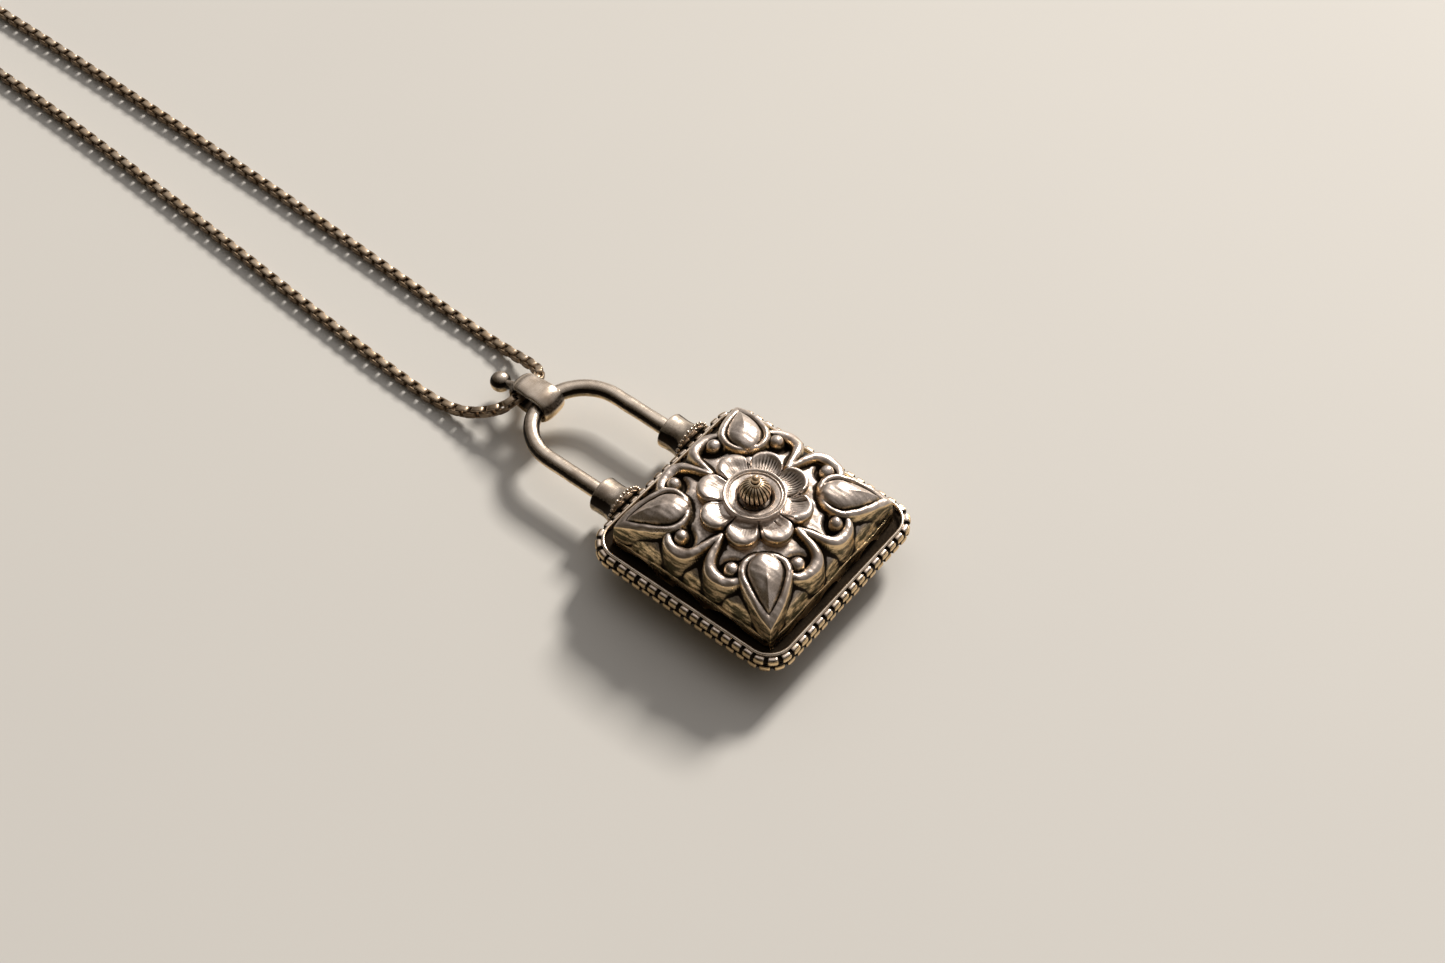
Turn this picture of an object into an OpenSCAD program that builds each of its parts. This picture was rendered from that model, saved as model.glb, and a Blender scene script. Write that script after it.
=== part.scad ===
// Padlock-shaped amulet pendant on a fine chain, lying on its back.
// Origin: on the resting surface, under the middle of the pendant with its bail.
// +Y points from the case to the bail and the chain, +Z points up. Millimetres.

/* [Case] */
// Width of the square case over the beaded wire round its side
case_w = 28.4; // [27:0.1:32]
// Height of the rim's front edge above the resting surface
rim_z = 6.0; // [5.6:0.1:7]
// Height of the domed front plate above its foot
front_h = 5.55; // [4.5:0.05:6.5]
// Thickness of the sheet that the plates and the band are made of
sheet_t = 0.5; // [0.3:0.05:0.6]
// Diameter of the beaded wires
bead_d = 1; // [0.9:0.02:1.04]
// Distance between the two rows of beaded wire
row_pitch = 1.05; // [1.05:0.01:1.15]
// Height of the repousse relief on the front plate
relief_h = 0.9; // [0.4:0.1:1.2]

/* [Rosette and centre bead] */
// Width over the eight petals
rosette_d = 14; // [12:0.1:14]
// Height of the rosette above the plate
rosette_h = 1.5; // [1:0.1:2]
// Diameter of the ribbed centre bead
bead_big_d = 3.7; // [3.4:0.1:4.4]
// Height of the ribbed centre bead
bead_big_h = 3.2; // [2.6:0.1:3.3]
// Diameter of the ball on top of the bead
finial_d = 1.1; // [0.8:0.1:1.4]
// Diameter of the washer under that ball
washer_d = 1.6; // [1.4:0.1:2]

/* [Shackle] */
// Diameter of the shackle wire
wire_d = 2.1; // [1.8:0.05:2.2]
// Distance between the two legs, centre to centre
shackle_span = 12.6; // [11:0.1:14]
// Distance from the case's centre to the crown of the shackle, along the wire's axis
crown_y = 32.7; // [31:0.1:36]
// Diameter of the collars
collar_d = 4.6; // [4:0.1:4.8]
// Length of the collars
collar_l = 3.8; // [3:0.1:6]

/* [Bail] */
// Width of the bail's band, along the chain
bail_w = 3.6; // [2.4:0.1:3.6]
// Distance between the shackle wire's axis and the chain's axis inside the bail
bail_reach = 3.1; // [3:0.05:3.4]
// Thickness of the bail's band
bail_t = 0.75; // [0.5:0.05:0.9]
// Diameter of the ball on the bail's end
bail_ball_d = 2.7; // [1.8:0.1:2.8]
// Length of the neck between the band and the ball
bail_neck_l = 1.5; // [1:0.1:1.8]

/* [Chain and clasp] */
// Diameter of the chain
chain_d = 1.6; // [1.4:0.1:1.6]
// Distance between turns of the stored chain
turn_pitch = 1.7; // [1.6:0.05:1.8]
// Turns of each of the two strands in the stored coil
turns = 1.25; // [1.25:1:2.25]
// Diameter of the end caps
cap_d = 2.2; // [2:0.1:2.4]
// Thickness of the clasp's body
clasp_t = 2; // [1.8:0.1:2.4]

/* [Hidden] */
$fn = 48;

// Gap left between neighbours that only touch
gap = 0.02;

// Heights and half widths of the case, from the rim inwards
rim_rise = 1.8;
mid_z = rim_z - rim_rise;
band_h = 2.1;
band_half = case_w / 2 - bead_d - gap;
ledge_w = 1.18;
plate_half = band_half - ledge_w;
ledge_t = 0.35;
foot_z = mid_z + band_h / 2;
back_z = mid_z - band_h / 2;
corner_r = 3;
front_row_half = band_half + bead_d / 2 + gap;
side_row_half = case_w / 2 - bead_d / 2;

// The front lip wire lies on the inner side of the front beaded wire, and the back one under the band
lip_r = 0.2;
lip_in = 0.35;
lip_touch = bead_d / 2 + lip_r + gap;
front_lip_half = front_row_half - lip_in;
front_lip_z = mid_z + row_pitch + sqrt(lip_touch * lip_touch - lip_in * lip_in);
back_lip_half = band_half - lip_r;

// The case's centre lies here, so that the pendant with its bail is centred on the origin
bail_play = 0.35;
chain_past_bend = 0.5;
ball_dip = 18.2;
bail_in_r = wire_d / 2 + bail_play;
bail_bend = bail_reach - chain_past_bend;
ball_at = bail_in_r + bail_t + bail_neck_l + bail_ball_d / 2;
ball_end = crown_y + bail_bend + ball_at * cos(ball_dip) + bail_ball_d / 2;
case_y = -(ball_end - case_w / 2) / 2;
crown = case_y + crown_y;
chain_y = crown + bail_reach;
arch_r = shackle_span / 2;
arch_y = crown - arch_r;
leg_y = case_y + case_w / 2 + 0.05;

// Top of the front plate under the rosette, and the pieces stacked on it
field_z = foot_z + front_h;
cup_z = field_z + rosette_h;
bead_sunk = 0.8;
bead_z = cup_z + bead_big_h / 2 - bead_sunk;
pin_r = 0.35;

// Colours
SILVER = [0.72, 0.67, 0.60];
WARM = [0.62, 0.50, 0.38];
DARK = [0.35, 0.28, 0.22];

// ---- plates -------------------------------------------------------------

// Grid lines lie closer together towards the edge, where the plate is steepest
function edge_fine(i, n) = sin(90 * (2 * i / n - 1));
// Pulls the corners of the square outline in, so that they are rounded
CORNER_PULL = 0.02;
function inset(a, b, half) = half * a * (1 - CORNER_PULL * pow(abs(b), 8));
// Crowned square: 1 over the middle, falling steeply to 0 at the edge
CROWN_POWER = 6;
function crown_of(u, v) = sqrt(max(0, (1 - pow(u, CROWN_POWER)) * (1 - pow(v, CROWN_POWER))));

// Four buds on the diagonals; a runs outwards along the diagonal, b across it
BUD_IN = 7.2;
BUD_OUT = 16.7;
BUD_W = 7.8;
function bud_t(a) = (a - BUD_IN) / (BUD_OUT - BUD_IN);
function bud_half(t) = BUD_W * sqrt(t) * pow(1 - t, 0.9);
function bump(q) = q >= 1 ? 0 : sqrt(1 - q * q);
function bud(x, y) =
    let (t = bud_t((abs(x) + abs(y)) / sqrt(2)), b = (abs(x) - abs(y)) / sqrt(2))
    t <= 0 || t >= 1 ? 0 : bump(abs(b) / bud_half(t));

// Eight scrolls, two on each side: a stem that curls into a ring
CURL = [9.7, 3.2];
CURL_R = 1.9;
CURL_W = 0.9;
STEM_FROM = 6.9;
STEM_TO = 9.5;
STEM_SLOPE = 0.18;
STEM_W = 0.8;
SCROLL_LOW = 0.8;
function ridge(d, w) = d >= w ? 0 : cos(90 * d / w);
function stem(p) =
    p[0] > STEM_FROM && p[0] < STEM_TO ? ridge(abs(p[1] - STEM_SLOPE * (p[0] - 5)), STEM_W) : 0;
function scroll_at(p) = max(ridge(abs(norm(p - CURL) - CURL_R), CURL_W), stem(p));
function scroll(x, y) = scroll_at([max(abs(x), abs(y)), min(abs(x), abs(y))]);
function relief(x, y) = relief_h * max(bud(x, y), SCROLL_LOW * scroll(x, y));

// A closed sheet between an outer and an inner grid of points
function grid_faces(n, first, flip) = [
    for (i = [0:n - 1], j = [0:n - 1], k = [0, 1])
        let (p = first + i * (n + 1) + j, q = p + n + 1)
        let (f = k == 0 ? [p, p + 1, q + 1] : [p, q + 1, q])
        flip ? [f[2], f[1], f[0]] : f];
function border(n) = concat(
    [for (j = [0:n - 1]) j],
    [for (i = [0:n - 1]) i * (n + 1) + n],
    [for (j = [n:-1:1]) n * (n + 1) + j],
    [for (i = [n:-1:1]) i * (n + 1)]);
function wall_faces(loop, count, flip) = [
    for (i = [0:len(loop) - 1], k = [0, 1])
        let (a = loop[i], b = loop[(i + 1) % len(loop)])
        let (f = k == 0 ? [a, a + count, b + count] : [a, b + count, b])
        flip ? [f[2], f[1], f[0]] : f];

module sheet(outer, inner, n, upward) {
    count = (n + 1) * (n + 1);
    polyhedron(concat(outer, inner), concat(
        grid_faces(n, 0, !upward),
        grid_faces(n, count, upward),
        wall_faces(border(n), count, !upward)), convexity = 6);
}

FRONT_N = 34;
BACK_N = 20;

module front_plate() {
    outer = [for (i = [0:FRONT_N], j = [0:FRONT_N])
        let (u = edge_fine(i, FRONT_N), v = edge_fine(j, FRONT_N))
        let (x = inset(u, v, plate_half), y = inset(v, u, plate_half), c = crown_of(u, v))
        [x, y, front_h * c + relief(x, y) * min(1, 2 * c)]];
    inner = [for (i = [0:FRONT_N], j = [0:FRONT_N])
        let (u = edge_fine(i, FRONT_N), v = edge_fine(j, FRONT_N))
        [inset(u, v, plate_half - sheet_t), inset(v, u, plate_half - sheet_t),
            (front_h - sheet_t) * crown_of(u, v)]];
    color(SILVER)
    translate([0, case_y, foot_z])
    sheet(outer, inner, FRONT_N, true);
}

// The back is a shallow pillow with a flat field that the pendant lies on
FLAT_FIELD = 1.35;
function pillow(u, v) = min(1, FLAT_FIELD * crown_of(u, v));
module back_plate() {
    outer = [for (i = [0:BACK_N], j = [0:BACK_N])
        let (u = edge_fine(i, BACK_N), v = edge_fine(j, BACK_N))
        [inset(u, v, plate_half), inset(v, u, plate_half), -back_z * pillow(u, v)]];
    inner = [for (i = [0:BACK_N], j = [0:BACK_N])
        let (u = edge_fine(i, BACK_N), v = edge_fine(j, BACK_N))
        [inset(u, v, plate_half - sheet_t), inset(v, u, plate_half - sheet_t),
            -(back_z - sheet_t) * pillow(u, v)]];
    color(SILVER)
    translate([0, case_y, back_z])
    sheet(outer, inner, BACK_N, false);
}

// ---- rim ----------------------------------------------------------------

module rounded_square(half, r) {
    square([2 * half, 2 * (half - r)], center = true);
    square([2 * (half - r), 2 * half], center = true);
    for (x = [-1, 1], y = [-1, 1])
        translate([x * (half - r), y * (half - r)])
        circle(r);
}

// The strip between the plates, with a ledge inside for each of them
band_r = corner_r - 0.6;
ledge_in = plate_half - sheet_t - 0.1;
module case_band() {
    color(WARM)
    translate([0, case_y, back_z])
    difference() {
        linear_extrude(band_h)
        rounded_square(band_half, band_r);
        translate([0, 0, ledge_t])
        linear_extrude(band_h - 2 * ledge_t)
        rounded_square(band_half - sheet_t, band_r - sheet_t);
        translate([0, 0, -band_h])
        linear_extrude(3 * band_h)
        rounded_square(ledge_in, band_r - sheet_t);
    }
}

// A round wire bent to a rounded square
module square_wire(half, r_wire, z) {
    side = half - corner_r;
    translate([0, case_y, z])
    for (turn = [0:3])
        rotate([0, 0, 90 * turn]) {
            translate([half, -side, 0])
            rotate([-90, 0, 0])
            cylinder(h = 2 * side, r = r_wire);
            translate([side, side, 0])
            rotate_extrude(angle = 90)
            translate([corner_r, 0])
            circle(r_wire);
        }
}

module lip_wire_front() {
    color(SILVER) square_wire(front_lip_half, lip_r, front_lip_z);
}
module lip_wire_back() {
    color(SILVER) square_wire(back_lip_half, lip_r, back_z - lip_r - gap);
}
module beaded_wire_front() {
    color(WARM) square_wire(front_row_half, bead_d / 2, mid_z + row_pitch);
}
module beaded_wire_side() {
    color(WARM) square_wire(side_row_half, bead_d / 2, mid_z);
}

// ---- rosette and centre bead --------------------------------------------

PETALS = 8;
petal_r = 0.145 * rosette_d;
module rosette() {
    color(SILVER)
    translate([0, case_y, field_z + gap])
    difference() {
        linear_extrude(rosette_h) {
            circle(rosette_d / 2 - petal_r);
            for (i = [0:PETALS - 1])
                rotate([0, 0, (i + 0.5) * 360 / PETALS])
                translate([rosette_d / 2 - petal_r, 0])
                circle(petal_r);
        }
        // The seat that the bead is sunk into, and the hole for its pin
        translate([0, 0, rosette_h - bead_sunk - 2 * gap])
        cylinder(h = rosette_h, r = bead_big_d / 2);
        translate([0, 0, -rosette_h])
        cylinder(h = 3 * rosette_h, r = pin_r + gap);
    }
}

cup_r = 0.24 * rosette_d;
cup_wire = 0.4;
module bead_cup() {
    color(SILVER)
    translate([0, case_y, cup_z + cup_wire + 2 * gap])
    rotate_extrude()
    translate([cup_r, 0])
    circle(cup_wire);
}

// Rounder than it is high, with flats round the pin
module ribbed_bead() {
    color(DARK)
    translate([0, case_y, bead_z])
    rotate_extrude()
    intersection() {
        translate([bead_big_d / 2 - bead_big_h / 2, 0])
        circle(bead_big_h / 2);
        translate([pin_r + gap, -bead_big_h])
        square([bead_big_d, 2 * bead_big_h]);
    }
}

module bead_pin() {
    color(DARK)
    translate([0, case_y, field_z + gap])
    cylinder(h = bead_z + bead_big_h / 2 - field_z, r = pin_r);
}

// A ball on a washer
washer_t = 0.25;
finial_sunk = 0.2;
module bead_finial() {
    color(WARM)
    translate([0, case_y, bead_z + bead_big_h / 2 + 2 * gap]) {
        cylinder(h = washer_t, r = washer_d / 2);
        translate([0, 0, washer_t + finial_d / 2 - finial_sunk])
        sphere(finial_d / 2);
    }
}

// ---- shackle and collars ------------------------------------------------

FLARE = 0.35;
FLARE_EDGE = 0.5;
FLARE_L = 1.4;
module collar(x) {
    r = collar_d / 2;
    bore = wire_d / 2 + gap;
    color(SILVER)
    translate([x, leg_y, mid_z])
    rotate([-90, 0, 0])
    rotate_extrude()
    polygon([[bore, 0], [r + FLARE, 0], [r + FLARE, FLARE_EDGE], [r, FLARE_L], [r, collar_l],
        [bore, collar_l]]);
}
module collar_left() collar(-arch_r);
module collar_right() collar(arch_r);

// Solder grains round the front of each collar's foot, set close together
GRAIN_R = 0.25;
GRAINS = 13;
GRAIN_ARC = 150;
module granules() {
    color(SILVER)
    for (side = [-1, 1], i = [0:GRAINS - 1])
        translate([side * arch_r, leg_y + GRAIN_R + gap, mid_z])
        rotate([0, GRAIN_ARC * (i / (GRAINS - 1) - 0.5), 0])
        translate([0, 0, collar_d / 2 + FLARE + GRAIN_R + gap])
        sphere(GRAIN_R);
}

module shackle() {
    leg = arch_y - leg_y;
    color(SILVER)
    translate([0, 0, mid_z])
    union() {
        for (x = [-arch_r, arch_r])
            translate([x, leg_y, 0])
            rotate([-90, 0, 0])
            cylinder(h = leg, r = wire_d / 2);
        translate([0, arch_y, 0])
        rotate_extrude(angle = 180)
        translate([arch_r, 0])
        circle(wire_d / 2);
    }
}

// ---- bail ---------------------------------------------------------------

module slot_2d(r) {
    circle(r);
    translate([bail_bend, 0])
    circle(r);
    translate([0, -r])
    square([bail_bend, 2 * r]);
}

module bail_band() {
    color(SILVER)
    translate([-bail_w / 2, crown, mid_z])
    rotate([90, 0, 90])
    linear_extrude(bail_w)
    difference() {
        slot_2d(bail_in_r + bail_t);
        slot_2d(bail_in_r);
    }
}

// The ball and its neck point away from the middle of the band's bend and dip a little
neck_r = 0.6;
module bail_ball() {
    color(SILVER)
    difference() {
        translate([0, crown + bail_bend, mid_z])
        rotate([-90 - ball_dip, 0, 0]) {
            cylinder(h = ball_at, r = neck_r);
            translate([0, 0, ball_at])
            sphere(bail_ball_d / 2);
        }
        translate([-bail_w, crown, mid_z])
        rotate([90, 0, 90])
        linear_extrude(2 * bail_w)
        slot_2d(bail_in_r + bail_t + gap / 2);
    }
}

// ---- chain --------------------------------------------------------------

lie_z = chain_d / 2;
clasp_z = 1.55;
clasp_x = 7.5;
clasp_y = 135;
clasp_len = 22.3;
COIL_AT = [-12, 133];
S_R = 3.3;
coil_r = 2 * S_R + 2 * turn_pitch * turns;

// From the coil along the left strand, through the bail and along the right strand
RUN = [
    [COIL_AT[0] + coil_r, 133, lie_z], [-1.2, 122, lie_z], [-1.7, 106, lie_z], [-2.6, 90, lie_z],
    [-3.8, 74, lie_z], [-4.9, 60, lie_z], [-5.8, 48, lie_z], [-6.3, 39, lie_z],
    [-6.4, 32.4, lie_z], [-6, 28.2, 1.3], [-5, 25.2, 2.3], [-3.6, 23, 3.5],
    [-1.8, chain_y, mid_z], [0, chain_y, mid_z], [1.8, chain_y, mid_z],
    [3.6, 23.2, 3.5], [4.7, 25.8, 2.3], [5.2, 29.2, 1.3], [5.4, 33.4, lie_z],
    [5.6, 40, lie_z], [5.9, 49, lie_z], [6.4, 61, lie_z], [6.9, 75, lie_z],
    [7.2, 91, lie_z], [7.4, 107, lie_z], [7.5, 121, lie_z], [7.5, 130, lie_z],
    [clasp_x, clasp_y, clasp_z]];

// From the other side of the coil round to the clasp's far end
TAIL = [
    [COIL_AT[0] - coil_r, 133, lie_z], [-22.7, 139, lie_z], [-20.8, 146, lie_z],
    [-16.5, 152.5, lie_z], [-10.5, 158, lie_z], [-4, 161.8, lie_z], [1.5, 163.3, lie_z],
    [5.4, 162.4, lie_z], [7.2, 160.2, 1.1], [clasp_x, clasp_y + clasp_len, clasp_z]];

// Smooth curve through the points, with a few steps from each to the next
function at(p, i) = p[max(0, min(len(p) - 1, i))];
function curve(p, i, t) = 0.5 * (2 * at(p, i) + (at(p, i + 1) - at(p, i - 1)) * t
    + (2 * at(p, i - 1) - 5 * at(p, i) + 4 * at(p, i + 1) - at(p, i + 2)) * t * t
    + (3 * at(p, i) - at(p, i - 1) - 3 * at(p, i + 1) + at(p, i + 2)) * t * t * t);
function route(p, steps) = concat(
    [for (i = [0:len(p) - 2], k = [0:steps - 1]) curve(p, i, k / steps)], [p[len(p) - 1]]);
function unit(v) = v / norm(v);

SIDES = 8;
module tube(path, r) {
    n = len(path);
    points = [for (i = [0:n - 1])
        let (ahead = unit(at(path, i + 1) - at(path, i - 1)))
        let (side = unit(cross(ahead, [0, 0, 1])), up = cross(side, ahead))
        for (k = [0:SIDES - 1])
            path[i] + r * (cos(360 * (k + 0.5) / SIDES) * side + sin(360 * (k + 0.5) / SIDES) * up)];
    sides = [for (i = [0:n - 2], k = [0:SIDES - 1])
        let (a = i * SIDES + k, b = i * SIDES + (k + 1) % SIDES)
        [a, b, b + SIDES, a + SIDES]];
    ends = [[for (k = [SIDES - 1:-1:0]) k], [for (k = [0:SIDES - 1]) (n - 1) * SIDES + k]];
    polyhedron(points, concat(sides, ends), convexity = 10);
}

module chain_run() {
    color(DARK) tube(route(RUN, 2), chain_d / 2);
}
module chain_tail() {
    color(DARK) tube(route(TAIL, 2), chain_d / 2);
}
// The stored length is a flat double spiral; this is the disc that it fills
module chain_coil() {
    color(DARK)
    translate([COIL_AT[0], COIL_AT[1], 0])
    rotate_extrude()
    polygon([[0, 0], [coil_r, 0], [coil_r + chain_d / 2, lie_z / 2], [coil_r + chain_d / 2, 1.5 * lie_z],
        [coil_r, chain_d], [0, chain_d]]);
}

// ---- clasp: distances run along +Y from the near end cap ------------------

cap_l = 3;
cap_end = 0.6;
eye_r = 0.8;
eye_wire = 0.25;
ring_r = 1.25;
ring_wire = 0.28;
ring_past_eye = 0.2;
eye_at = cap_l + eye_r + 0.1;
ring_a_at = eye_at + ring_past_eye + ring_r;
hook_at = 7.55;
body_end = 12.5;
heel_r = 2;
clasp_eye_at = body_end + heel_r + eye_r - 0.1;
far_eye_at = clasp_len - eye_at;

module at_clasp(s) translate([clasp_x, clasp_y + s, clasp_z]) children();
module eye() {
    rotate_extrude()
    translate([eye_r, 0])
    circle(eye_wire);
}

module end_cap(dir) {
    rotate([-90 * dir, 0, 0])
    difference() {
        cylinder(h = cap_l, r = cap_d / 2);
        translate([0, 0, -cap_l])
        cylinder(h = 2 * cap_l - cap_end, r = chain_d / 2 + 2 * gap);
    }
}
module end_cap_a() {
    color(SILVER) {
        at_clasp(0) end_cap(1);
        at_clasp(eye_at) eye();
    }
}
module end_cap_b() {
    color(SILVER) {
        at_clasp(clasp_len) end_cap(-1);
        at_clasp(far_eye_at) eye();
    }
}

module jump_ring() {
    color(SILVER)
    rotate([0, 90, 0])
    rotate_extrude()
    translate([ring_r, 0])
    circle(ring_wire);
}
module jump_ring_a() at_clasp(ring_a_at) jump_ring();
module jump_ring_b() at_clasp((clasp_eye_at + far_eye_at) / 2) jump_ring();

hook_r = 2.5;
hook_thinner = 0.3;
cavity_r = 1.85;
cavity_end = 2.6;
pivot = [1.3, 11.2];
clasp_pin_r = 0.35;
lever_t = 1;
lever_play = 0.15;
lever_tip_y = 6.95;
mouth_x = 0.4;
slot_y = 10;

// The claw: a hook round the cavity, a solid heel with the pivot, and an eye
module claw_2d() {
    difference() {
        union() {
            translate([0, hook_at]) circle(hook_r);
            translate([-heel_r, hook_at]) square([2 * heel_r, body_end - hook_at]);
            translate([0, body_end]) circle(heel_r);
        }
        translate([0, hook_at]) circle(cavity_r);
        translate([-1.1, hook_at]) square([2.2, cavity_end]);
        // The mouth, which the lever closes
        translate([mouth_x, lever_tip_y - 0.25]) square([2 * hook_r, 3.4]);
    }
}
module clasp_body() {
    color(SILVER) {
        difference() {
            translate([clasp_x, clasp_y, clasp_z - clasp_t / 2])
            linear_extrude(clasp_t)
            claw_2d();
            // The hook's tip is thinner than the heel
            for (z = [-1, 1])
                at_clasp(hook_at - 1.5)
                translate([0, -hook_r, z * (clasp_t - hook_thinner)])
                cube([4 * hook_r, 2 * hook_r, clasp_t], center = true);
            // Slot for the lever, open on its side
            at_clasp(slot_y + 1.5)
            translate([mouth_x + hook_r, 0, 0])
            cube([2 * hook_r, 3, lever_t + 2 * lever_play], center = true);
            at_clasp(pivot[1])
            translate([pivot[0], 0, -clasp_t])
            cylinder(h = 2 * clasp_t, r = clasp_pin_r + gap / 4);
        }
        at_clasp(clasp_eye_at) eye();
    }
}
module clasp_lever() {
    color(WARM)
    translate([clasp_x, clasp_y, clasp_z - lever_t / 2])
    linear_extrude(lever_t)
    difference() {
        // The knuckle, the arm that closes the mouth and the thumb tab
        union() {
            translate(pivot) circle(0.75);
            translate([1.25, lever_tip_y]) square([0.8, pivot[1] - lever_tip_y]);
            translate([pivot[0], pivot[1] - 0.3]) square([1.9, 0.9]);
        }
        translate(pivot) circle(clasp_pin_r + 2 * gap);
    }
}
module clasp_pin() {
    color(WARM)
    at_clasp(pivot[1])
    translate([pivot[0], 0, -clasp_t / 2])
    cylinder(h = clasp_t, r = clasp_pin_r);
}
// Coil spring in the heel, which pushes the lever shut
spring_r = 0.2;
spring_l = 0.4;
module clasp_spring() {
    color(DARK)
    at_clasp(pivot[1] - 0.8)
    translate([mouth_x + gap, 0, 0])
    rotate([0, 90, 0])
    difference() {
        cylinder(h = spring_l, r = spring_r);
        translate([0, 0, -spring_l])
        cylinder(h = 3 * spring_l, r = spring_r / 2);
    }
}

front_plate();
back_plate();
case_band();
lip_wire_front();
lip_wire_back();
beaded_wire_front();
beaded_wire_side();
rosette();
bead_cup();
ribbed_bead();
bead_pin();
bead_finial();
collar_left();
collar_right();
granules();
shackle();
bail_band();
bail_ball();
chain_run();
chain_tail();
chain_coil();
end_cap_a();
end_cap_b();
jump_ring_a();
jump_ring_b();
clasp_body();
clasp_lever();
clasp_pin();
clasp_spring();
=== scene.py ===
import math

import bpy
import numpy as np
from mathutils import Matrix, Vector


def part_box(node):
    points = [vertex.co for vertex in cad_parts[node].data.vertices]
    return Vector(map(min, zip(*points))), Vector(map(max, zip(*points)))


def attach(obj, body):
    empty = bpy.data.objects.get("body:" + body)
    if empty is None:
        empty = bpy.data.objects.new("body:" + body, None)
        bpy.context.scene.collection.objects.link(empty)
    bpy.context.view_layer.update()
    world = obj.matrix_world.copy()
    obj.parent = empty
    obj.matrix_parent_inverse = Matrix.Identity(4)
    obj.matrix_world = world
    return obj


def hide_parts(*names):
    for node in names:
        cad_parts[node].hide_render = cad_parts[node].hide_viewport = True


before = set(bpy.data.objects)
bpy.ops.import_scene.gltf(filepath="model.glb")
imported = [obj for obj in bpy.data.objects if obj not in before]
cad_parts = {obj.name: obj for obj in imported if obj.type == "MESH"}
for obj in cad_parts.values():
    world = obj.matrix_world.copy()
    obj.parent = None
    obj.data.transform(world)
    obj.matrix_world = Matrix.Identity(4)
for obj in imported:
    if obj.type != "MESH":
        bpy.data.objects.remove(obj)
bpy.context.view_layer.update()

# All shapes below are worked out in millimetres, in the part's own frame: +Y runs from the case
# to the bail and the chain, +Z points up, and the pendant lies on z = 0.
MM = 0.001


# ---- camera, which comes first with the chain -----------------------------

CAMERA_AT = Vector((-123.38, -104.18, 213.05)) * MM
LOOK_ALONG = Vector((0.48356641, 0.37352945, -0.79160551))
CAMERA_UP = Vector((0.61455158, 0.49910399, 0.61091862))
FOCAL_LENGTH = 54.81


def make_camera():
    data = bpy.data.cameras.new("camera")
    data.lens = FOCAL_LENGTH
    data.sensor_width = 36
    data.clip_start = 0.01
    data.clip_end = 20
    camera = bpy.data.objects.new("camera", data)
    bpy.context.scene.collection.objects.link(camera)
    ahead = LOOK_ALONG.normalized()
    right = ahead.cross(CAMERA_UP).normalized()
    up = right.cross(ahead)
    turn = Matrix((right, up, -ahead)).transposed().to_4x4()
    camera.matrix_world = Matrix.Translation(CAMERA_AT) @ turn
    bpy.context.scene.camera = camera


make_camera()


# ---- mesh helpers ------------------------------------------------------------

def box_mm(node):
    low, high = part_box(node)
    return np.array(low) / MM, np.array(high) / MM


def smooth_step(low, high, x):
    t = np.clip((x - low) / (high - low), 0, 1)
    return t * t * (3 - 2 * t)


def smooth_max(a, b, soft):
    """The larger of two heights, with a fillet where they meet."""
    h = np.clip(0.5 + 0.5 * (a - b) / soft, 0, 1)
    return b * (1 - h) + a * h + soft * h * (1 - h)


def unit(v):
    return v / np.maximum(np.linalg.norm(v, axis=-1, keepdims=True), 1e-12)


def grid_faces(rows, columns, wrap_rows=False, wrap_columns=False):
    """Quads over a grid of points that is stored row by row."""
    i, j = np.meshgrid(
        np.arange(rows if wrap_rows else rows - 1),
        np.arange(columns if wrap_columns else columns - 1),
        indexing="ij",
    )
    i, j = i.ravel(), j.ravel()
    up, on = (i + 1) % rows, (j + 1) % columns
    return np.stack([i * columns + j, i * columns + on, up * columns + on, up * columns + j], axis=1)


def noise(p, size, seed):
    """Smooth repeatable noise from -1 to 1 over points: waves of about that size in a few directions."""
    rng = np.random.default_rng(seed)
    total = np.zeros(len(p))
    for _ in range(7):
        wave = unit(rng.normal(size=3)) * 2 * math.pi / (size * rng.uniform(0.7, 1.6))
        total += np.sin(p @ wave + rng.uniform(0, 2 * math.pi))
    return total / 4


def neighbours_mean(values, edges, count):
    """Mean of each point's neighbours, for every column of values."""
    degree = np.maximum(np.bincount(edges.ravel(), minlength=count), 1)
    columns = []
    for k in range(values.shape[1]):
        v = values[:, k]
        total = np.bincount(edges[:, 0], v[edges[:, 1]], count)
        total += np.bincount(edges[:, 1], v[edges[:, 0]], count)
        columns.append(total / degree)
    return np.stack(columns, axis=1)


def mark_wear_and_painted_light(mesh, reach, painted_reflection=None, patina_and_shade=None):
    """Stores how deep each point lies in a hollow, how far it stands out on a ridge, and where reflection is
    painted.

    The surface is smoothed over about reach millimetres and compared with itself.
    Patina and painted shade, passed in together, darken as hollows do."""
    count = len(mesh.vertices)
    points = np.empty(count * 3, np.float32)
    mesh.vertices.foreach_get("co", points)
    points = points.reshape(-1, 3).astype(float) / MM
    normals = np.empty(count * 3, np.float32)
    mesh.vertices.foreach_get("normal", normals)
    normals = normals.reshape(-1, 3).astype(float)
    edges = np.empty(len(mesh.edges) * 2, np.int32)
    mesh.edges.foreach_get("vertices", edges)
    edges = edges.reshape(-1, 2)
    step = float(np.median(np.linalg.norm(points[edges[:, 0]] - points[edges[:, 1]], axis=1)))
    smoothed = points
    for _ in range(int(min(60, max(3, (reach / step) ** 2)))):
        smoothed = neighbours_mean(smoothed, edges, count)
    depth = ((smoothed - points) * normals).sum(axis=1) / reach
    layers = {
        "hollow": np.maximum(smooth_step(0.02, 0.25, depth), 0 if patina_and_shade is None else patina_and_shade),
        "ridge": smooth_step(0.02, 0.25, -depth),
        "painted_reflection": np.zeros(count) if painted_reflection is None else painted_reflection,
    }
    for name, values in layers.items():
        layer = mesh.attributes.new(name, "FLOAT", "POINT")
        layer.data.foreach_set("value", values.astype(np.float32))


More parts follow.
